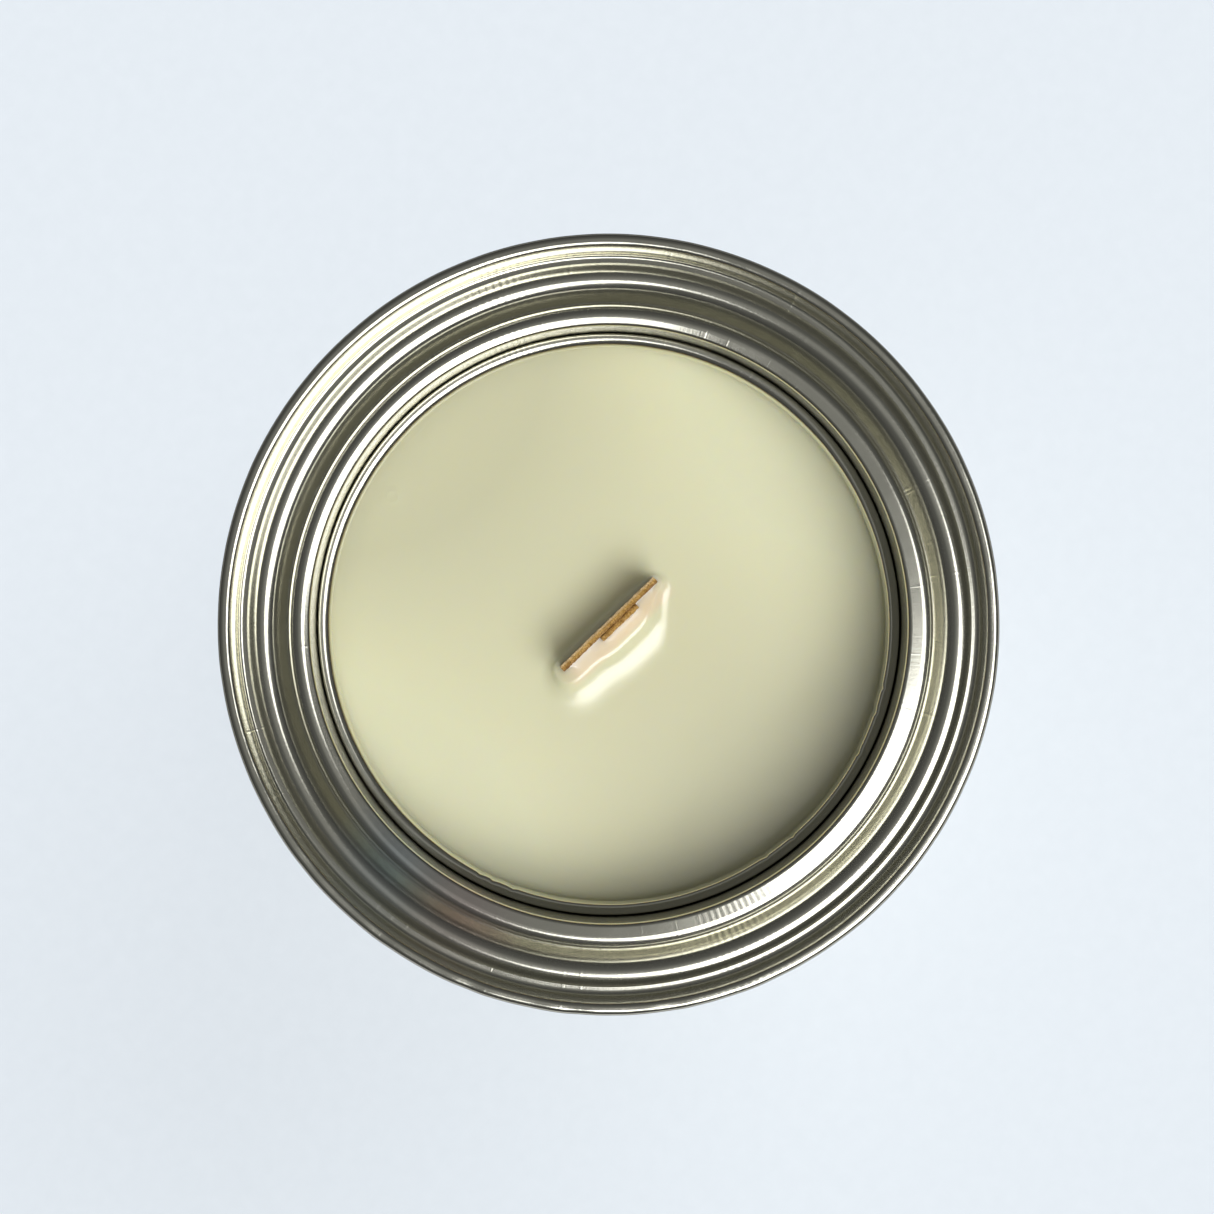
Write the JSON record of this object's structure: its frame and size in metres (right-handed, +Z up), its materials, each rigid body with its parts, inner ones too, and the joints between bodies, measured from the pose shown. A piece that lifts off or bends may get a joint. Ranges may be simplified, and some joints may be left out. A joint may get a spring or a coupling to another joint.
{
  "type": "candle tin",
  "caption": "Round tinplate tin with double seams and a stamped lever-lid ring, open at the top and filled with wax around a flat wooden wick with a booster strip.",
  "frame": {"origin": "centre of the plane that the tin stands on, on the tin's axis", "axes": "+Z up along the tin's axis, out of the open mouth; the wick's wide face lies along X, with its booster strip on the -Y side"},
  "size_m": [0.076, 0.076, 0.076],
  "materials": {
    "tinplate_body": "gloss",
    "tinplate_ends": "gloss",
    "lining_compound": "matte",
    "wax": "satin",
    "wick_wood": "matte",
    "clip_steel": "satin",
    "adhesive": "matte",
    "label_paper": "matte"
  },
  "bodies": {
    "root": {"side_wall": "tinplate_body", "lever_ring": "tinplate_ends", "base_end": "tinplate_ends", "ring_seam_compound": "lining_compound", "base_seam_compound": "lining_compound", "wax_fill": "wax", "wick_blade": "wick_wood", "wick_booster": "wick_wood", "wick_clip": "clip_steel", "clip_adhesive_pad": "adhesive", "base_label": "label_paper"}
  },
  "joints": []
}
